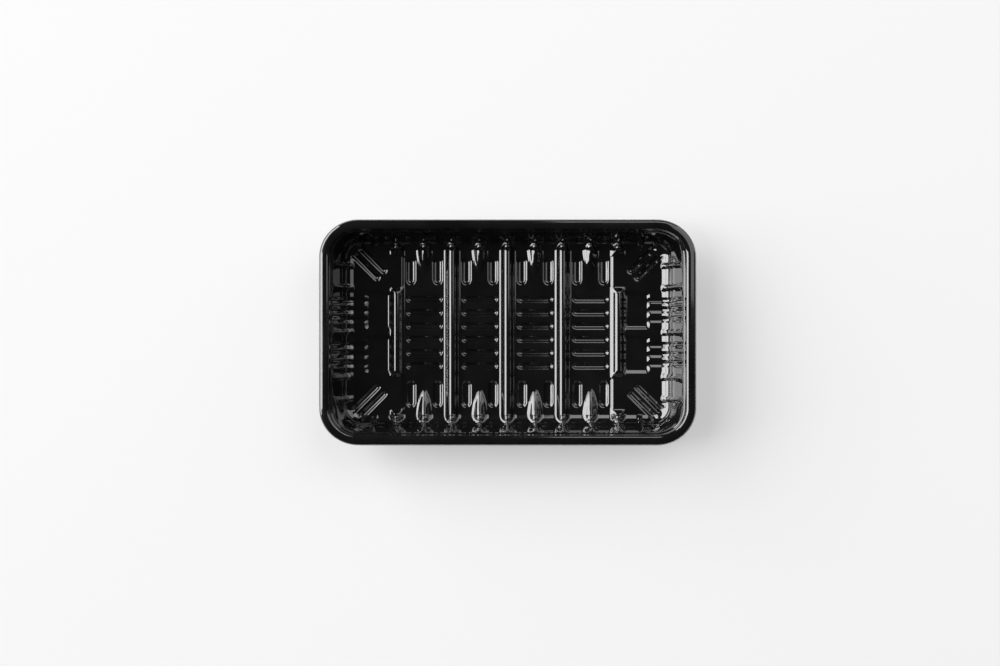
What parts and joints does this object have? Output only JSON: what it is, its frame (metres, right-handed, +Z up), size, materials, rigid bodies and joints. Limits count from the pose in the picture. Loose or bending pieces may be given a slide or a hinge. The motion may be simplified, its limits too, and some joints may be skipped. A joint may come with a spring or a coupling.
{
  "type": "meat packaging tray",
  "caption": "Shallow black thermoformed tray with a ribbed floor, grooved feet, ribbed walls and a rolled rim, to hold portions of meat.",
  "frame": {"origin": "middle of the tray's outline, on the plane that its feet rest on", "axes": "+X along the tray's long side, +Z up out of its open top"},
  "size_m": [0.22, 0.132, 0.03],
  "materials": {
    "tray_plastic": "glossy black, smooth"
  },
  "bodies": {
    "root": {"tray": "tray_plastic"}
  },
  "joints": []
}
